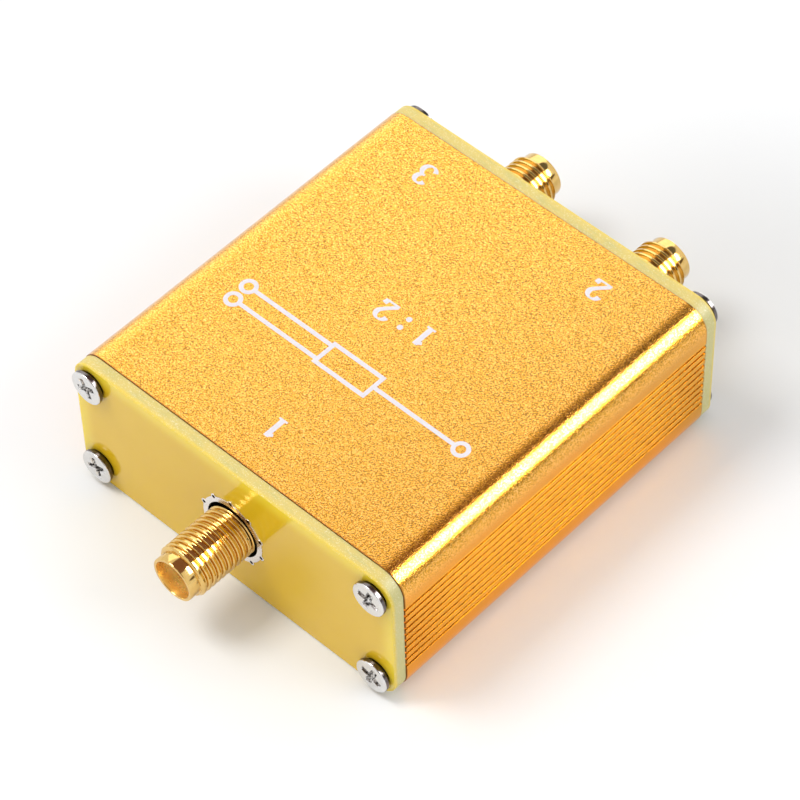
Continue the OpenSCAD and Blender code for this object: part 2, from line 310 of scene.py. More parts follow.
def anodisedGold():
    # Blasted and gold-anodised aluminium under clear oxide: a sparkling grain, strongest on the roof and
    # the underside, whose colour carries painted shade in its pits and painted glints on its tips; calm
    # sides with painted shade in the grooves, and painted shade along the sawn ends where the case meets the
    # panels
    look = {
        "grain": 0.15, "fineGrain": 0.09, "relief": 0.036, "deep": (0.33, 0.135, 0.005),
        "light": (0.875, 0.412, 0.032), "tip": (1.0, 0.56, 0.17), "shadedPits": (0.37, 0.50), "glintTips": (0.51, 0.61),
        "calm": (0.95, 0.41, 0.003), "grainOnSides": 0.12, "grainOnRoof": 0.95,
        "roofStart": 4.0, "roofFull": 1.5, "underFull": 0.3, "underEnd": 1.2,
        "groove": (0.42, 0.19, 0.014), "grooveReach": 5.2, "sunkAt": 0.06, "flushAt": 0.01,
        "jointShade": (0.30, 0.10, 0.004), "jointShadeReach": 0.16, "oxide": 0.42}
    material, g = newFinish("anodisedGold")
    place = g.place()
    up = g.axis(place, 2)
    grain = g.noise(place, look["grain"], 1.0)
    fine = g.noise(place, look["fineGrain"], 1.0)
    height = grain * 0.6 + fine * 0.4
    # Colour follows the relief: painted shade in the pits and painted glints on the tips, over a random
    # grain tone
    grainShadeAndGlint = g.blend(g.span(height, *look["shadedPits"]), look["deep"], look["light"])
    grainShadeAndGlint = g.blend(g.span(height, *look["glintTips"]), grainShadeAndGlint, look["tip"])
    few, many = look["grainOnSides"], look["grainOnRoof"]
    roofFrom, roofTo = caseHeight - look["roofStart"], caseHeight - look["roofFull"]
    roof = g.span(up, roofFrom * mm, roofTo * mm, few, many)
    under = g.span(up, look["underFull"] * mm, look["underEnd"] * mm, many, few)
    blasted = g.node("ShaderNodeMath", {"operation": "MAXIMUM"}, {0: roof, 1: under})
    # Painted shade darkens the walls and floors of the grooves on the sides
    sunkAt, flushAt = caseWidth / 2 - look["sunkAt"], caseWidth / 2 - look["flushAt"]
    sunkShade = g.span(abs(g.axis(place, 0)), sunkAt * mm, flushAt * mm, 1.0, 0.0)
    beside = abs(up - caseHeight / 2 * mm).above(look["grooveReach"] * mm)
    side = g.blend(sunkShade * (1 - beside), look["calm"], look["groove"])
    # Painted shade along the ends, where the case meets the panels
    jointShade = g.span(abs(g.axis(place, 1)), (caseLength / 2 - look["jointShadeReach"]) * mm, caseLength / 2 * mm)
    g.surface({"Base Color": g.blend(jointShade, g.blend(blasted, side, grainShadeAndGlint), look["jointShade"]), "Metallic": 1.0,
               "Roughness": 0.15 + fine * 0.1, "Normal": g.bump(height * blasted, look["relief"]),
               "Coat Weight": blasted * look["oxide"], "Coat Roughness": 0.2, "Coat IOR": 1.6})
    return material


def yellowLacquer():
    # Glossy yellow lacquer, lighter near the edges, where light comes in through the board
    look = {"relief": 0.0005, "deep": (0.68, 0.42, 0.010), "light": (0.74, 0.48, 0.02), "cloud": 7.0,
            "flow": 6.0, "edge": (0.86, 0.66, 0.05), "edgeReach": 2.4, "edgeShare": 0.85}
    material, g = newFinish("yellowLacquer")
    place = g.place()
    aside = panelHigh[0] * mm - abs(g.axis(place, 0))
    below = panelHigh[2] * mm - g.axis(place, 2)
    nearest = g.node("ShaderNodeMath", {"operation": "MINIMUM"}, {0: aside, 1: below})
    edge = g.span(nearest, 0.0, look["edgeReach"] * mm, look["edgeShare"], 0.0)
    cloud = g.noise(place, look["cloud"], 3.0)
    flow = g.noise(place, look["flow"], 0.0)
    g.surface({"Base Color": g.blend(edge, g.blend(cloud, look["deep"], look["light"]), look["edge"]),
               "Roughness": 0.08 + cloud * 0.05, "IOR": 1.5, "Normal": g.bump(flow, look["relief"]),
               "Subsurface Weight": 0.15, "Subsurface Scale": 0.8 * mm,
               "Subsurface Radius": (1.0, 0.7, 0.15)})
    return material


def cutLaminate():
    # Sawn edge of glass-epoxy board: pale layers with bright fibre ends, greyer towards the right end
    look = {"layer": 0.2, "cloud": 2.2, "pale": (0.68, 0.53, 0.145), "green": (0.57, 0.49, 0.16),
            "greens": (0.3, 0.6), "fibre": 0.12, "fibreEnds": (0.60, 0.68), "bright": (0.92, 0.86, 0.60),
            "shade": (0.50, 0.50, 0.24), "shadeReach": 3, "shadeShare": 0.7,
            "lacquer": (0.76, 0.55, 0.05), "lacquerReach": 0.5, "lacquerShare": 0.9}
    material, g = newFinish("cutLaminate")
    place = g.place()
    layers = g.noise(g.stretch(place, (0.06, 1.0, 0.06)), look["layer"], 2.0)
    cloud = g.noise(place, look["cloud"], 2.0)
    fibre = g.span(g.noise(place, look["fibre"], 1.0), *look["fibreEnds"])
    body = g.blend(g.span(layers * 0.5 + cloud * 0.5, *look["greens"]), look["green"], look["pale"])
    shadeFrom = (panelHigh[0] - look["shadeReach"]) * mm
    right = g.span(g.axis(place, 0), shadeFrom, panelHigh[0] * mm, 0.0, look["shadeShare"])
    body = g.blend(right, body, look["shade"])
    outer = (caseLength / 2 + panelThickness) * mm
    lacquerFrom = outer - look["lacquerReach"] * mm
    lacquered = g.span(abs(g.axis(place, 1)), lacquerFrom, outer, 0.0, look["lacquerShare"])
    body = g.blend(lacquered, body, look["lacquer"])
    g.surface({"Base Color": g.blend(fibre * 0.6, body, look["bright"]), "Roughness": 0.5 - fibre * 0.3,
               "Normal": g.bump(layers * 0.6 + fibre * 0.4, 0.01),
               "Subsurface Weight": 0.35, "Subsurface Scale": 1.0 * mm,
               "Subsurface Radius": (1.0, 0.9, 0.4)})
    return material


def plainMetal(name, look):
    # Plated metal with clouds of tone, a fine relief and uneven polish; the grain may run along one axis
    material, g = newFinish(name)
    place = g.place()
    cloud = g.noise(place, look["cloud"], 3.0)
    fine = g.noise(g.stretch(place, look.get("grainAlong", (1.0, 1.0, 1.0))), look["grain"], 2.0)
    tone = cloud * 0.6 + fine * 0.4
    if "contrast" in look:
        tone = g.span(tone, 0.5 - look["contrast"], 0.5 + look["contrast"])
    g.surface({"Base Color": g.blend(tone, look["deep"], look["light"]),
               "Metallic": look.get("metal", 1.0),
               "Roughness": look["polish"] + fine * look["unevenPolish"],
               "Normal": g.bump(fine * 0.5 + cloud * 0.5, look["relief"])})
    return material


tinLook = {"deep": (0.72, 0.71, 0.74), "light": (0.94, 0.93, 0.96), "cloud": 0.5, "grain": 0.12,
           "relief": 0.004, "polish": 0.16, "unevenPolish": 0.2}
nickelLook = {"deep": (0.58, 0.57, 0.56), "light": (0.86, 0.85, 0.84), "cloud": 0.45, "grain": 0.1,
              "grainAlong": (1.0, 0.3, 1.0), "relief": 0.005, "polish": 0.12, "unevenPolish": 0.16}
goldLook = {"deep": (0.62, 0.37, 0.09), "light": (0.90, 0.64, 0.25), "cloud": 0.8, "grain": 0.4,
            "grainAlong": (0.3, 1.0, 0.3), "relief": 0.0008, "polish": 0.06, "unevenPolish": 0.08}
# Painted light: a brighter, partly diffuse copy of the gold plate for the inside of the socket
boreLightLook = {"deep": (0.78, 0.42, 0.06), "light": (1.0, 0.72, 0.24), "cloud": 0.8, "grain": 0.4,
            "grainAlong": (0.3, 1.0, 0.3), "relief": 0.0015, "polish": 0.2, "unevenPolish": 0.12,
            "metal": 0.7}
# Painted shade: a dark copy of the gold plate for the jack's neck inside the panel hole
neckShadeLook = {"deep": (0.05, 0.03, 0.012), "light": (0.20, 0.12, 0.045), "cloud": 0.6, "grain": 0.2,
            "relief": 0.004, "polish": 0.35, "unevenPolish": 0.2}
# Painted shade for the walls of the via and jack holes
holeShadeLook = {"deep": (0.012, 0.010, 0.008), "light": (0.05, 0.035, 0.02), "cloud": 0.3, "grain": 0.1,
            "relief": 0.01, "polish": 0.5, "unevenPolish": 0.2}
# Painted shade: a dark copy of the nickel for the band and cone of each screw head
bandShadeLook = {"deep": (0.03, 0.025, 0.025), "light": (0.26, 0.23, 0.23), "cloud": 0.6, "grain": 0.12,
            "grainAlong": (1.0, 0.3, 1.0), "relief": 0.004, "polish": 0.12, "unevenPolish": 0.16}
# Painted shade: a dark copy of the nickel inside the cross recess
recessLook = {"deep": (0.03, 0.027, 0.025), "light": (0.72, 0.70, 0.68), "cloud": 0.34, "grain": 0.2,
              "relief": 0.02, "polish": 0.22, "unevenPolish": 0.2,
              "contrast": 0.09}


def waxyWhite():
    # White insulator plastic: waxy, slightly cloudy
    material, g = newFinish("waxyWhite")
    cloud = g.noise(g.place(), 0.7, 3.0)
    g.surface({"Base Color": g.blend(cloud, (0.80, 0.79, 0.75), (0.93, 0.92, 0.89)),
               "Roughness": 0.38 + cloud * 0.15, "Normal": g.bump(cloud, 0.004),
               "Subsurface Weight": 0.4, "Subsurface Scale": 0.6 * mm})
    return material


def greenBoard():
    # Green lacquer on glass cloth
    material, g = newFinish("greenBoard")
    place = g.place()
    warp = g.noise(g.stretch(place, (1.0, 0.15, 1.0)), 0.4, 1.0)
    weft = g.noise(g.stretch(place, (0.15, 1.0, 1.0)), 0.4, 1.0)
    weave = warp * weft
    cloud = g.noise(place, 3.0, 3.0)
    g.surface({"Base Color": g.blend(weave + cloud * 0.5, (0.012, 0.09, 0.03), (0.04, 0.24, 0.09)),
               "Roughness": 0.2 + cloud * 0.15, "Normal": g.bump(weave, 0.006)})
    return material


def greyFerrite():
    # Sintered ferrite: nearly black, with small pores
    material, g = newFinish("greyFerrite")
    place = g.place()
    pores = g.span(g.noise(place, 0.16, 2.0), 0.36, 0.46)
    cloud = g.noise(place, 1.2, 3.0)
    g.surface({"Base Color": g.blend(pores * 0.6 + cloud * 0.4, (0.02, 0.02, 0.022), (0.11, 0.11, 0.12)),
               "Roughness": 0.65 - pores * 0.2, "Normal": g.bump(pores, 0.02)})
    return material


def enamelledWire():
    # Copper under clear enamel
    material, g = newFinish("enamelledWire")
    cloud = g.noise(g.place(), 0.5, 3.0)
    g.surface({"Base Color": g.blend(cloud, (0.50, 0.16, 0.05), (0.80, 0.36, 0.15)), "Metallic": 0.85,
               "Roughness": 0.2 + cloud * 0.15, "Coat Weight": 0.6, "Normal": g.bump(cloud, 0.004)})
    return material


def chipFinish(name, node, capLength, deep, light):
    # Ceramic chip whose ends, within capLength millimetres of the solid's ends, are tinned
    low, high = nodeBox(node)
    material, g = newFinish(name)
    place = g.place()
    cap = abs(g.axis(place, 0)).above((high[0] - capLength) * mm)
    cloud = g.noise(place, 0.3, 3.0)
    g.surface({"Base Color": g.blend(cap, g.blend(cloud, deep, light), (0.82, 0.82, 0.84)),
               "Metallic": cap, "Roughness": 0.3 + cloud * 0.25, "Normal": g.bump(cloud, 0.01)})
    return material


def whiteInk():
    # Thin screen print, a little uneven where the blasted grain shows through
    material, g = newFinish("whiteInk")
    place = g.place()
    grain = g.noise(place, 0.3, 2.0)
    cloud = g.noise(place, 1.5, 2.0)
    g.surface({"Base Color": g.blend(grain * 0.6 + cloud * 0.4, (0.60, 0.56, 0.61), (0.78, 0.74, 0.79)),
               "Roughness": 0.5 + grain * 0.2, "Normal": g.bump(grain, 0.012)})
    return material


resistorTones = (0.012, 0.012, 0.014), (0.05, 0.05, 0.055)
capacitorTones = (0.32, 0.22, 0.12), (0.52, 0.40, 0.26)
chipEnd = 0.45  # length of a chip's tinned end
finishes = {
    "case": anodisedGold(), "lacquer": yellowLacquer(), "cut": cutLaminate(),
    "tin": plainMetal("brightTin", tinLook), "nickel": plainMetal("nickelSteel", nickelLook),
    "gold": plainMetal("goldPlate", goldLook), "litBore": plainMetal("litBoreGold", boreLightLook),
    "neck": plainMetal("shadedNeck", neckShadeLook), "holeShade": plainMetal("paintedHoleShade", holeShadeLook),
    "recess": plainMetal("recessSteel", recessLook), "bandShade": plainMetal("shadedBandSteel", bandShadeLook),
    "insulator": waxyWhite(), "board": greenBoard(), "ferrite": greyFerrite(), "wire": enamelledWire(),
    "ink": whiteInk(),
    "resistor": chipFinish("glazedResistor", "isolation_resistor", chipEnd, *resistorTones),
    "capacitor": chipFinish("tanCapacitor", "trimming_capacitor", chipEnd, *capacitorTones)}
print("finishes made:", len(finishes))

# Case

caseForm = {
    "edgeRadius": 2.8, "ease": 0.7, "endRound": 0.05, "inkRoom": 0.01,
    "grooves": 10, "groovePitch": 1.03, "grooveWidth": 0.4, "grooveDepth": 0.2, "grooveRound": 0.03,
    "roofWall": 1.5, "sideWall": 1.9, "screwX": 2.65, "screwZ": 2.75,
    "portRadius": 1.35, "portOuter": 2.25, "portSlit": 1.0,
    "slotGap": 0.15, "railThickness": 1.2, "railDepth": 1.6}
screwX = caseWidth / 2 - caseForm["screwX"]
screwZ = caseHeight / 2 - caseForm["screwZ"]


def easedCorner(radius, ease, steps):
    # Quarter turn whose bend grows evenly from nothing to full and fades again, summed step by step along
    # its length, and scaled to begin the ease before a plain arc would. It runs from the upright side to
    # the flat side, and the corner is its zero
    fine = 2000
    share = np.linspace(0, 1, fine + 1)
    ramp = ease / radius
    bend = np.clip(np.minimum(share, 1 - share) / ramp, 0, 1)
    turn = np.concatenate([[0], np.cumsum((bend[1:] + bend[:-1]) / 2)])
    turn = turn / turn[-1] * math.pi / 2
    path = np.cumsum(np.stack([np.sin(turn), -np.cos(turn)], 1), 0)
    path = (path - path[0]) / (path[-1] - path[0])[0] * (radius + ease)
    path = path + [0, radius + ease]
    return path[np.linspace(0, fine, steps).round().astype(int)]


def caseOutline(form):
    # Rounded rectangle whose two sides step in at each groove
    half, top = caseWidth / 2, caseHeight - form["inkRoom"]
    places = np.arange(form["grooves"]) - (form["grooves"] - 1) / 2
    middles = caseHeight / 2 + places * form["groovePitch"]
    step = np.array([[0, -1], [-1, -1], [-1, 1], [0, 1]]) * [form["grooveDepth"], form["grooveWidth"] / 2]
    right = ([half, 0] + step[None] + np.stack([0 * middles, middles], 1)[:, None]).reshape(-1, 2)
    left = right[::-1] * [-1, 1]
    corners = np.concatenate([[[-half, 0], [half, 0]], right, [[half, top], [-half, top]], left])
    radii = np.full(len(corners), form["grooveRound"])
    radii[[0, 1, 2 + len(right), 3 + len(right)]] = form["edgeRadius"]
    outline = roundCorners(corners, radii, 9).reshape(-1, 9, 2)
    big = easedCorner(form["edgeRadius"], form["ease"], 25)
    spots = {0: (1, 1), 1: (-1, 1), 2 + len(right): (-1, -1), 3 + len(right): (1, -1)}
    pieces = []
    for number, small in enumerate(outline):
        way = big[::-1] if number in (1, 3 + len(right)) else big
        pieces.append(corners[number] + way * spots[number] if number in spots else small)
    return np.concatenate(pieces)


def caseInside(form):
    # Inside of the extrusion, clockwise: from the roof round a slit screw port, down past the board rails,
    # round the lower port, and back up along the mirror image
    wall, roof = caseWidth / 2 - form["sideWall"], caseHeight / 2 - form["roofWall"]
    outer, port, slit = form["portOuter"], form["portRadius"], form["portSlit"] / 2
    wide, narrow = math.degrees(math.asin(slit / port)), math.degrees(math.asin(slit / outer))
    corner = np.concatenate([
        [[wall - screwX, -outer]], arc(outer, 270, 225 + narrow, 8), arc(port, 225 + wide, 585 - wide, 41),
        arc(outer, 225 - narrow, 180, 8), [[-outer, roof - screwZ]]])
    depth, thickness = form["railDepth"], form["railThickness"]
    rail = np.array([[0, thickness], [-depth, thickness], [-depth, 0], [0, 0]])
    slotTop = boardHigh[2] + form["slotGap"] - caseHeight / 2
    slotBottom = boardLow[2] - thickness - caseHeight / 2
    right = np.concatenate([
        corner[::-1] + [screwX, screwZ], rail + [wall, slotTop], rail + [wall, slotBottom],
        corner * [1, -1] + [screwX, -screwZ]])
    return np.concatenate([right, right[::-1] * [-1, 1]]) + [0, caseHeight / 2]


case = Shape()
section = [caseOutline(caseForm), caseInside(caseForm)]
slab(case, section, -caseLength / 2, caseLength / 2, caseForm["endRound"], [0, 0])
caseSkin = case.build("groovedCase", [finishes["case"]])
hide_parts("case_shell")
print("case:", len(caseSkin.data.polygons), "faces")

# End panels and their tinned pads

panelForm = {
    "cornerRadius": 2.7, "rim": 0.14, "screwHole": 1.65, "jackHole": 3.5,
    "vias": 10, "viaRing": 4.17, "viaRadius": 0.2, "viaLand": 0.36, "padOuter": 4.17, "padRim": 0.02}
viaTurns = 90 + np.arange(panelForm["vias"]) * 360 / panelForm["vias"]
jackHeight = nodeMiddle("jack_1_body")[2]
ends = {"front": (frontAxes, caseLow[1]), "rear": (rearAxes, caseHigh[1])}


def viaHoles(centre, form):
    # One small hole at each turn of the ring
    turns = np.radians(viaTurns)
    middles = form["viaRing"] * np.stack([np.cos(turns), np.sin(turns)], 1) + centre
    return [hole(form["viaRadius"], middle, 16) for middle in middles]


def panelPiece(name, node, end, jackAcross, form):
    # Board plate: lacquered faces, sawn edges, plated via holes
    axes, face = ends[end]
    shape = Shape(axes, (0, face, 0))
    width, height = panelHigh[0] - panelLow[0], panelHigh[2] - panelLow[2]
    middle = (panelHigh[2] + panelLow[2]) / 2
    outline = rectangle(width, height, form["cornerRadius"], 13, (0, middle))
    corners = [(sx * screwX, caseHeight / 2 + sz * screwZ) for sx in (-1, 1) for sz in (-1, 1)]
    screws = [hole(form["screwHole"], corner, 40) for corner in corners]
    jacks = [hole(form["jackHole"], (across, jackHeight), 72) for across in jackAcross]
    vias = [loop for across in jackAcross for loop in viaHoles((across, jackHeight), form)]
    # The walls of the jack and via holes take slot 2, painted shade
    sideSlots = [1] * (1 + len(screws)) + [2] * (len(jacks) + len(vias))
    slab(shape, [outline, *screws, *jacks, *vias], 0, panelThickness, form["rim"], sideSlots)
    piece = shape.build(name, [finishes["lacquer"], finishes["cut"], finishes["holeShade"]])
    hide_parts(node)


def padPiece(name, node, end, across, form):
    # Ring that bulges round each via: its radius is the larger of the plain ring's and the polar form of
    # the via's land circle
    axes, face = ends[end]
    shape = Shape(axes, (0, face, 0))
    turns = np.linspace(0, 360, 480, endpoint=False)
    off = np.radians(np.abs((turns[:, None] - viaTurns[None] + 180) % 360 - 180).min(1))
    root = form["viaLand"] ** 2 - (form["viaRing"] * np.sin(off)) ** 2
    land = form["viaRing"] * np.cos(off) + np.sqrt(np.maximum(root, 0))
    radius = np.where(root > 0, np.maximum(land, form["padOuter"]), form["padOuter"])[:, None]
    centre = np.array([across, jackHeight])
    outline = radius * arc(1, 0, 360 - 360 / len(turns), len(turns)) + centre
    low, high = nodeBox(node)
    loops = [outline, hole(form["jackHole"], centre, 72), *viaHoles(centre, form)]
    # The via walls take slot 1, painted shade
    sideSlots = [0, 0] + [1] * form["vias"]
    slab(shape, loops, panelThickness, panelThickness + high[1] - low[1], form["padRim"], sideSlots)
    piece = shape.build(name, [finishes["tin"], finishes["holeShade"]])
    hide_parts(node)


outputAcross = nodeMiddle("jack_2_body")[0]
panelPiece("frontPanelPlate", "front_panel", "front", [0], panelForm)
panelPiece("rearPanelPlate", "rear_panel", "rear", [-outputAcross, outputAcross], panelForm)
padPiece("tinnedPad1", "pad_1", "front", 0, panelForm)
padPiece("tinnedPad2", "pad_2", "rear", -outputAcross, panelForm)
padPiece("tinnedPad3", "pad_3", "rear", outputAcross, panelForm)
print("panels and pads made")

# Threaded pieces


def turned(profile, columns):
    # Rows of a turned profile, given as radius and height, with the first column repeated at the end
    turn = np.linspace(0, 2 * math.pi, columns + 1)
    radius, height = np.asarray(profile, float).T[:, :, None]
    return np.stack([radius * np.cos(turn), radius * np.sin(turn), height + 0 * turn], -1)


def threadRows(low, high, crest, depth, pitch, lowRadius, highRadius, columns, chamfer, steps=12):
    # Right-hand thread: each row keeps its place in the ridge and climbs one pitch in a turn. The ridge has
    # a broad crest and falls to its root by the smooth step 3tt - 2ttt, cut by a chamfer cone at its outer
    # end. Rows past an end lie on the ring of that end
    turn = np.linspace(0, 2 * math.pi, columns + 1)
    turns = math.ceil((high - low) / pitch) + 1
    phase = np.arange(turns * steps + 1) / steps
    shift, root, slope = 0.07, 0.1, 0.55  # shift in pitches, half a root and one flank in half pitches
    flank = np.clip((abs((phase + shift) % 1 * 2 - 1) - root) / slope, 0, 1)
    ridge = flank * flank * (3 - 2 * flank)
    height = low + pitch * (phase[:, None] - 1 + turn / (2 * math.pi))
    radius = np.minimum((crest - depth * (1 - ridge))[:, None], crest - chamfer + (high - height))
    radius = np.where(height <= low, lowRadius, np.where(height >= high, highRadius, radius))
    height = np.clip(height, low, high)
    return np.stack([radius * np.cos(turn), radius * np.sin(turn), height], -1)


jackForm = {
    "crest": 3.125, "threadDepth": 0.33, "pitch": 25.4 / 36, "turns": 10.48, "chamfer": 0.2,
    "neck": 2.75, "collar": 2.675, "collarLength": 1.3, "rim": 0.12,
    "socket": 2.3, "socketDepth": 1.9, "mouth": 0.08, "seat": 2.05, "shoulder": 0.5, "tailHole": 1.2,
    "flange": 6.35, "flangeThickness": 1.8, "flangeCorner": 0.2,
    "legWidth": 1.0, "legHeight": 1.05, "legCorner": 0.12, "edge": 0.06, "columns": 112}


def jackPiece(name, node, end, form):
    # Turned and threaded body, closed along its bore, with a square flange and four legs behind it
    axes, face = ends[end]
    low, high = nodeBox(node)
    across = (low[0] + high[0]) / 2
    tip = max(abs(low[1]), abs(high[1])) - abs(face)  # from the panel's inner face to the jack's end
    legEnd = abs(face) - min(abs(low[1]), abs(high[1]))
    shape = Shape(axes, (across, face, jackHeight))
    back = -form["flangeThickness"]
    threadEnd, floor = tip - form["collarLength"], tip - form["socketDepth"]
    threadStart = threadEnd - form["turns"] * form["pitch"]
    neck = [(form["tailHole"], back), (form["neck"], back), (form["neck"], threadStart)]
    collar, rim, mouth, socket = form["collar"], form["rim"], form["mouth"], form["socket"]
    bend = 0.3  # how far a rounding cuts in at its middle, as a share of its radius
    front = [(collar, threadEnd), (collar, tip - rim), (collar - rim * bend, tip - rim * bend),
             (collar - rim, tip), (socket + mouth, tip), (socket + mouth * bend, tip - mouth * bend),
             (socket, tip - mouth), (socket, floor), (form["seat"], floor),
             (form["seat"], back + form["shoulder"]), (form["tailHole"], back + form["shoulder"]),
             (form["tailHole"], back)]
    thread = threadRows(
        threadStart, threadEnd, form["crest"], form["threadDepth"], form["pitch"], form["neck"], collar,
        form["columns"], form["chamfer"])
    rows = np.concatenate([turned(neck, form["columns"]), thread, turned(front, form["columns"])])
    # The inside of the socket takes slot 1, painted light
    # The neck rows take slot 2, painted shade
    bands = np.zeros(len(rows) - 1, int)
    bands[:3], bands[-5:] = 2, 1  # neck, and the inside of the socket
    shape.skin(shape.add(rows), np.repeat(bands, form["columns"]), around=False)
    flange = rectangle(form["flange"], form["flange"], form["flangeCorner"], 5)
    slab(shape, [flange, hole(form["neck"], (0, 0), 72)], back, 0, form["edge"], [0, 0])
    for side in (-1, 1):
        for middle in (boardHigh[2] + form["legHeight"] / 2, boardLow[2] - form["legHeight"] / 2):
            centre = (side * (form["flange"] - form["legWidth"]) / 2, middle - jackHeight)
            leg = rectangle(form["legWidth"], form["legHeight"], form["legCorner"], 4, centre)
            slab(shape, [leg], -legEnd, back, form["edge"], [0])
    piece = shape.build(name, [finishes["gold"], finishes["litBore"], finishes["neck"]], 40)
    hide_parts(node)


for number, end in (("1", "front"), ("2", "rear"), ("3", "rear")):
    jackPiece("threadedJack" + number, "jack_" + number + "_body", end, jackForm)
print("jacks made")

screwLow, screwHigh = nodeBox("panel_screws")
headProud = screwHigh[1] - caseHigh[1] - panelThickness
screwForm = {
    "head": screwHigh[0] - screwX, "rim": 0.5, "edge": 0.15, "shank": 1.25, "length": 6.0,
    "pitch": 0.45, "threadDepth": 0.22, "chamfer": 0.3, "columns": 28,
    "recessWidth": 2.7, "recessSlot": 0.76, "recessDepth": 0.7, "recessTaper": 0.14,
    "pitFloor": 1.15, "pitSlope": 0.75, "faceLines": 53, "firstTurn": 20, "turnStep": 137.5}


def screwHead(shape, form, proud, spin):
    # Disc made from a square grid by u' = u sqrt(1 - v v / 2), v' = v sqrt(1 - u u / 2), with a cross
    # pressed in; then the rounded rim, the straight band and the cone down to the core of the thread
    line = np.linspace(-1, 1, form["faceLines"])
    u, v = np.meshgrid(line, line)
    flat = form["head"] - form["edge"]
    x, y = flat * u * np.sqrt(1 - v * v / 2), flat * v * np.sqrt(1 - u * u / 2)
    slot = np.minimum(abs(x), abs(y)) - form["recessSlot"] / 2
    reach = np.maximum(abs(x), abs(y)) - form["recessWidth"] / 2
    inside = np.clip(-np.maximum(slot, reach) / form["recessTaper"], 0, 1)
    away = np.hypot(x, y) / (form["recessWidth"] / 2)
    pit = np.clip(form["pitFloor"] - form["pitSlope"] * away, 0, 1)
    depth = form["recessDepth"] * inside * pit
    c, s = math.cos(spin), math.sin(spin)
    face = shape.add(np.stack([c * x - s * y, s * x + c * y, proud - depth], -1))
    pressed = depth[:-1, :-1] + depth[1:, :-1] + depth[:-1, 1:] + depth[1:, 1:]
    # Faces pressed into the cross take slot 1, painted shade
    shape.skin(face, (pressed > form["recessDepth"] * 0.5).ravel().astype(int), around=False)
    border = np.concatenate([face[0, :-1], face[:-1, -1], face[-1, :0:-1], face[:0:-1, 0]])
    ring = np.stack([c * x - s * y, s * x + c * y], -1)
    ring = np.concatenate([ring[0, :-1], ring[:-1, -1], ring[-1, :0:-1], ring[:0:-1, 0]]) / flat
    core = form["shank"] - form["threadDepth"]
    bottom = proud - form["rim"] - (form["head"] - core)
    turn = np.linspace(0, math.pi / 2, 6)[:0:-1]
    rim = np.stack([flat + form["edge"] * np.sin(turn), proud - form["edge"] * (1 - np.cos(turn))], 1)
    rows = np.concatenate([[[core, bottom], [form["head"], proud - form["rim"]]], rim])
    levels = np.broadcast_to(rows[:, None, 1:], (len(rows), len(ring), 1))
    side = shape.add(np.concatenate([rows[:, None, :1] * ring[None], levels], 2))
    # The cone and the band take slot 2, painted shade
    shape.skin(np.concatenate([side, border[None]]), np.repeat([2, 2] + [0] * len(rim), len(border)))
    shape.cap([side[0]], -1)
    tail = proud - form["length"]
    columns = form["columns"]
    thread = threadRows(
        tail, bottom, form["shank"], form["threadDepth"], form["pitch"], core, core, columns,
        form["chamfer"], 6)
    point = turned([(0.0, tail), (core, tail)], columns)
    root = turned([(core, bottom), (0.0, bottom + 0.05)], columns)
    shape.skin(shape.add(np.concatenate([point, thread, root])), 0, around=False)


screws = Shape()
for number in range(8):
    axes, face = ends["front" if number < 4 else "rear"]
    across, up = (1 if number % 2 else -1) * screwX, (1 if number % 4 > 1 else -1) * screwZ
    screws.seat(axes, np.array([0, face, caseHeight / 2]) + np.array([across, up, panelThickness]) @ axes)
    spin = math.radians(screwForm["firstTurn"] + number * screwForm["turnStep"])
    screwHead(screws, screwForm, headProud, spin)
screwSet = screws.build("panelScrewSet", [finishes["nickel"], finishes["recess"], finishes["bandShade"]], 40)
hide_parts("panel_screws")
print("screws:", len(screwSet.data.polygons), "faces")

# Print on the roof: port numbers and a one-to-two line diagram

printForm = {"numberHeight": 2.8, "thick": 0.62, "thin": 0.24, "line": 0.5, "film": 0.02, "layer": 0.0003}
# Middle of each number, across and up in the print's own frame
portLabels = {"1": (0.3, 17.5), "2": (-11.8, -18.0), "3": (12.5, -17.9)}


def stroke(shape, path, form, width=None):
    # A pen stroke along a path: broad where it runs up or down, thin where it runs across, or of one width
    step = unit(np.gradient(path, axis=0))
    broad = form["thin"] + (form["thick"] - form["thin"]) * abs(step[:, 1:]) ** 1.5
    half = (broad if width is None else width) / 2
    out = np.stack([step[:, 1], -step[:, 0]], 1) * half
    section = np.stack([path - out, path + out, path + out, path - out], 1)
    rise = np.array([0, 0, 1, 1]) * form["film"] - form["film"]
    levels = np.broadcast_to(rise[None, :, None], section.shape[:2] + (1,))
    numbers = shape.add(np.concatenate([section, levels], 2))
    shape.skin(numbers[:, ::-1])
    shape.put(np.stack([numbers[0], numbers[-1, ::-1]]), 0)


def straight(*points):
    # Straight runs, each with a few points, so that the pen keeps its angle
    share = np.linspace(0, 1, 6)[:, None]
    return [np.array(a) * (1 - share) + np.array(b) * share for a, b in zip(points[:-1], points[1:])]


def numberPaths(number, height):
    # Pen paths of a figure on its middle: round parts are arcs, the rest is straight
    stem = straight((0, 0.02), (0, 0.98))
    foot = straight((-0.2, 0.04), (0.2, 0.04))
    flag = straight((0.02, 0.94), (-0.2, 0.78))
    slope = straight((0.19, 0.55), (-0.26, 0.09))[0][1:]
    swan = [np.concatenate([arc(0.25, 175, -30, 24, (0, 0.73)), slope])]
    base = straight((-0.3, 0.07), (0.3, 0.07)) + straight((0.27, 0.05), (0.31, 0.26))
    bowls = [arc(0.23, 165, -95, 24, (0, 0.76)), arc(0.27, 95, -165, 28, (0, 0.27))]
    unitPaths = {"1": stem + foot + flag, "2": swan + base, "3": bowls}
    return [(path - [0, 0.5]) * height for path in unitPaths[number]]


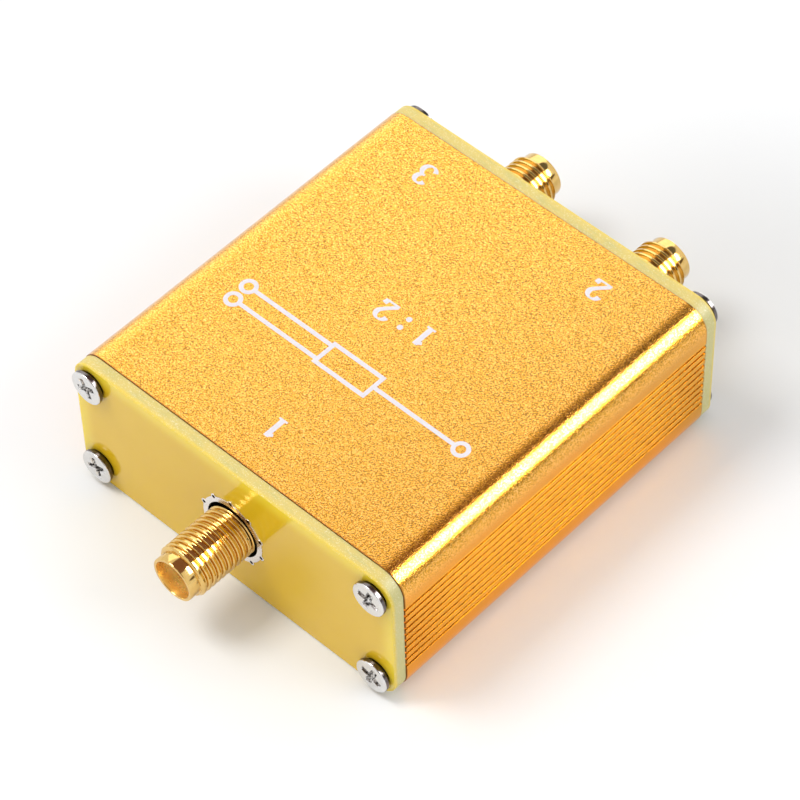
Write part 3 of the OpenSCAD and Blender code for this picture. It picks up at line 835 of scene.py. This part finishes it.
def printPiece(name, strokes):
    shape = Shape()
    for layer, (path, width) in enumerate(strokes):  # each stroke lies a hair under the one before it
        shape.seat(printAxes, (0, 0, caseHigh[2] - layer * printForm["layer"]))
        stroke(shape, path, printForm, width)
    shape.build(name, [finishes["ink"]])


def numberStrokes(number, centre):
    return [(path + centre, None) for path in numberPaths(number, printForm["numberHeight"])]


for number, centre in portLabels.items():
    printPiece("portNumber" + number, numberStrokes(number, np.array(centre)))

# Diagram: a terminal ring, a line into a box, and two lines out to two more rings
diagramForm = {
    "row": 7.0, "reach": 16.2, "ring": 0.8, "boxHalf": 3.4, "boxHeight": 1.5, "fork": 1.15,
    "ratioRow": -1.3, "ratioGap": 2.6, "dot": 0.17, "dotLift": 0.7}
row, reach, line = diagramForm["row"], diagramForm["reach"], printForm["line"]
boxHalf, boxHeight, fork, ring = (diagramForm[key] for key in ("boxHalf", "boxHeight", "fork", "ring"))
inner = reach - 2 * ring
paths = [arc(ring, 0, 360, 40, (-reach + ring, row)), arc(ring, 0, 360, 40, (reach - ring, row + fork)),
         arc(ring, 0, 360, 40, (reach - ring, row - fork))]
paths += straight((-inner, row), (-boxHalf, row)) + straight((boxHalf, row + fork), (inner, row + fork))
paths += straight((boxHalf, row - fork), (inner, row - fork))
paths += straight((-boxHalf - line / 2, row + boxHeight), (boxHalf + line / 2, row + boxHeight))
paths += straight((-boxHalf - line / 2, row - boxHeight), (boxHalf + line / 2, row - boxHeight))
paths += straight((-boxHalf, row - boxHeight), (-boxHalf, row + boxHeight))
paths += straight((boxHalf, row - boxHeight), (boxHalf, row + boxHeight))
ratioRow, ratioGap = diagramForm["ratioRow"], diagramForm["ratioGap"]
dot, dotLift = diagramForm["dot"], diagramForm["dotLift"]
ratio = numberStrokes("1", np.array([-ratioGap, ratioRow]))
ratio += numberStrokes("2", np.array([ratioGap, ratioRow]))
dots = [(arc(dot, 0, 360, 24, (0, ratioRow + lift)), 2 * dot) for lift in (-dotLift, dotLift)]
printPiece("splitDiagram", [(path, line) for path in paths] + ratio + dots)
print("print made")

# Solids that keep their shape get their finish
kept = {"circuit_board": "board", "matching_core": "ferrite", "splitting_core": "ferrite",
        "matching_winding": "wire", "splitting_winding": "wire", "isolation_resistor": "resistor",
        "trimming_capacitor": "capacitor"}
for jack in ("jack_1", "jack_2", "jack_3"):
    kept.update({jack + "_insulator": "insulator", jack + "_contact": "gold"})
for node, finish in kept.items():
    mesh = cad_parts[node].data
    mesh.materials.clear()
    mesh.materials.append(finishes[finish])
print("solids finished:", len(kept))

# Studio

# A grey patch of painted shadow lies on the floor behind the case, round its centre out to its reach
studio = {
    "floorSize": 3000, "floorDrop": 0.02, "floorColour": (0.85, 0.86, 0.875), "shadeCentre": (8, 14, 0),
    "whiteFrom": 56, "whiteTo": 105, "paintedShadowCentre": (16, 42, 0), "paintedShadowCore": 4, "paintedShadowReach": 40,
    "paintedShadowColour": (0.70, 0.705, 0.71), "ambient": 0.8}


def studioFloor():
    # Pale sheet that keeps the shadow near the object, carries a painted shadow behind the case, and goes to
    # plain white further out
    size = studio["floorSize"]
    u, v = np.meshgrid(np.linspace(-size, size, 9), np.linspace(-size, size, 9))
    shape = Shape(np.eye(3), (0, 0, -studio["floorDrop"]))
    shape.skin(shape.add(np.stack([u, v, 0 * u], -1)), 0, around=False)
    material, g = newFinish("paleFloor")
    place = g.place()
    centre = tuple(np.array(studio["shadeCentre"]) * mm)
    distance = g.node("ShaderNodeVectorMath", {"operation": "DISTANCE"}, {0: place, 1: centre}, 1)
    white = g.span(distance, studio["whiteFrom"] * mm, studio["whiteTo"] * mm)
    seen = g.node("ShaderNodeLightPath")
    cloud = g.noise(place, 40.0, 2.0)
    shadowDistance = tuple(np.array(studio["paintedShadowCentre"]) * mm)
    shadowDistance = g.node("ShaderNodeVectorMath", {"operation": "DISTANCE"}, {0: place, 1: shadowDistance}, 1)
    # Painted shadow: grey near the centre behind the case, fading out to its reach
    paintedShadow = g.span(shadowDistance, studio["paintedShadowCore"] * mm, studio["paintedShadowReach"] * mm, 1.0, 0.0)
    near = g.blend(cloud * 0.02, studio["floorColour"], (0.9, 0.9, 0.9))
    tone = g.blend(paintedShadow, near, studio["paintedShadowColour"])
    sheet = g.node("ShaderNodeBsdfDiffuse", None, {"Color": tone})
    glow = g.node("ShaderNodeEmission", None, {"Color": (1, 1, 1, 1), "Strength": 1.0})
    mixed = g.node("ShaderNodeMixShader", None, {0: white * seen, 1: sheet, 2: glow})
    g.node("ShaderNodeOutputMaterial", None, {"Surface": mixed})
    floor = shape.build("paleFloor", [material])


def studioWorld():
    # White room for the camera and for reflections, dimmer as a light on rough surfaces
    world = bpy.data.worlds.new("whiteRoom")
    bpy.context.scene.world = world
    world.use_nodes = True
    g = Graph(world.node_tree)
    rays = g.node("ShaderNodeLightPath").socket.node.outputs
    kinds = ("Camera", "Glossy", "Transmission")
    camera, glossy, through = (Wire(g, rays["Is " + kind + " Ray"]) for kind in kinds)
    seen = g.node("ShaderNodeMath", {"operation": "MINIMUM"}, {0: camera + glossy + through, 1: 1.0})
    level = studio["ambient"] + seen * (1 - studio["ambient"])
    back = g.node("ShaderNodeBackground", None, {"Color": (1, 1, 1, 1), "Strength": level})
    g.node("ShaderNodeOutputWorld", None, {"Surface": back})


def aimed(direction, distance, along):
    # Matrix of a lamp or card that looks back at the object from a direction, its width along a line
    away = Vector(direction).normalized()
    across = (Vector(along) - away * away.dot(Vector(along))).normalized()
    turn = Matrix((across, away.cross(across), away)).transposed().to_4x4()
    return Matrix.Translation(away * distance * mm + Vector((0, 0, caseHeight / 2 * mm))) @ turn


def softBox(name, direction, along, distance, width, height, radiance, colour, lights=True, shows=True):
    # Area lamp given by the brightness of its face, to light rough surfaces, show in polished ones, or both
    lamp = bpy.data.lights.new(name, "AREA")
    lamp.shape = "RECTANGLE"
    lamp.size, lamp.size_y = width * mm, height * mm
    lamp.energy = radiance * math.pi * width * height * mm * mm
    lamp.color = colour
    box = bpy.data.objects.new(name, lamp)
    bpy.context.scene.collection.objects.link(box)
    box.matrix_world = aimed(direction, distance, along)
    box.visible_diffuse = lights
    box.visible_glossy = shows


def darkCard(name, direction, along, distance, radii, tone, fade):
    # Oval card that shows only in reflections, to give polished metal its dark bands: dark in the middle,
    # and fading to the room's white from the fade share of its radii to its rim
    turn = np.array(aimed(direction, distance, along))
    disc = np.linspace(0.001, 1, 5)[:, None, None] * arc(1, 0, 360 - 5, 72)[None] * radii
    shape = Shape(turn[:3, :3].T, turn[:3, 3] / mm)
    shape.skin(shape.add(np.concatenate([disc, 0 * disc[..., :1]], 2)))
    material, g = newFinish(name)
    off = g.node("ShaderNodeVectorMath", {"operation": "SUBTRACT"}, {0: g.place(), 1: tuple(turn[:3, 3])})
    shares = [g.node("ShaderNodeVectorMath", {"operation": "DOT_PRODUCT"},
                     {0: off, 1: tuple(turn[:3, side] / (radii[side] * mm))}, 1) for side in (0, 1)]
    rim = g.span(shares[0] * shares[0] + shares[1] * shares[1], fade * fade, 1.0)
    colour = g.blend(rim, tone, (1.0, 1.0, 1.0))
    shade = g.node("ShaderNodeEmission", None, {"Color": colour, "Strength": 1.0})
    g.node("ShaderNodeOutputMaterial", None, {"Surface": shade})
    card = shape.build(name, [material])
    for ray in ("camera", "diffuse", "shadow", "transmission", "volume_scatter"):
        setattr(card, "visible_" + ray, False)


studioFloor()
studioWorld()
softBox("keyBox", (-0.40, -0.32, 0.86), (1, 0, 0), 600, 220, 220, 10.4, (1.0, 0.99, 0.97))
softBox("sideBox", (0.72, 0.30, 0.62), (0, 1, 0), 700, 300, 300, 3.0, (1.0, 1.0, 1.0), True, False)
softBox("edgeBox", (0.608, 0.452, 0.652), (0.731, 0, -0.682), 520, 290, 300, 12.5, (1.0, 1.0, 1.0), False)
softBox("roofBox", (-0.586, 0.606, 0.537), (0.6, 0.58, 0), 900, 1040, 745, 0.92, (1.0, 0.99, 0.96), False)
darkCard("roofCard", (0.05, 0.125, 1.0), (1, 0, 0), 1210, (740, 1000), (0.26, 0.135, 0.11), 0.86)
darkCard("backCard", (0.07, 0.66, 0.75), (1, 0, 0), 290, (100, 58), (0.15, 0.15, 0.15), 0.85)
darkCard("roomCard", (0.44, -0.50, 0.70), (1, 0, 0), 900, (420, 420), (0.10, 0.06, 0.03), 0.7)
darkCard("lowCard", (0.869, 0.452, 0.2), (-0.452, 0.869, 0), 800, (370, 105), (0.16, 0.11, 0.06), 0.8)

# Camera, from the fit to the photograph: where it stands seen from the middle of the case, and its focal
# length in pixels of an 800-pixel picture
view = {"azimuth": 44.446, "elevation": 50.669, "roll": -1.81, "distance": 380.648, "focal": 3645.5,
        "offCentre": (-2.296, -12.258), "picture": 800, "sensor": 36.0}


def photoCamera():
    azimuth, elevation, roll = (math.radians(view[key]) for key in ("azimuth", "elevation", "roll"))
    level = math.cos(elevation)
    away = Vector((math.sin(azimuth) * level, -math.cos(azimuth) * level, math.sin(elevation)))
    right = Vector((0, 0, 1)).cross(away).normalized()
    up = away.cross(right)
    c, s = math.cos(roll), math.sin(roll)
    right, up = c * right + s * up, c * up - s * right
    middle = Vector((0, 0, caseHeight / 2))
    stand = middle + away * view["distance"]
    perPixel = view["distance"] / view["focal"]
    aim = middle - right * view["offCentre"][0] * perPixel + up * view["offCentre"][1] * perPixel
    back = (stand - aim).normalized()
    right = up.cross(back).normalized()
    up = back.cross(right)
    camera = bpy.data.cameras.new("photoCamera")
    camera.sensor_width = view["sensor"]
    camera.lens = view["focal"] / view["picture"] * view["sensor"]
    camera.clip_start, camera.clip_end = 0.01, 100
    holder = bpy.data.objects.new("photoCamera", camera)
    bpy.context.scene.collection.objects.link(holder)
    holder.matrix_world = Matrix.Translation(stand * mm) @ Matrix((right, up, back)).transposed().to_4x4()
    bpy.context.scene.camera = holder


photoCamera()
bpy.context.scene.view_settings.view_transform = "Standard"
print("studio and camera set")
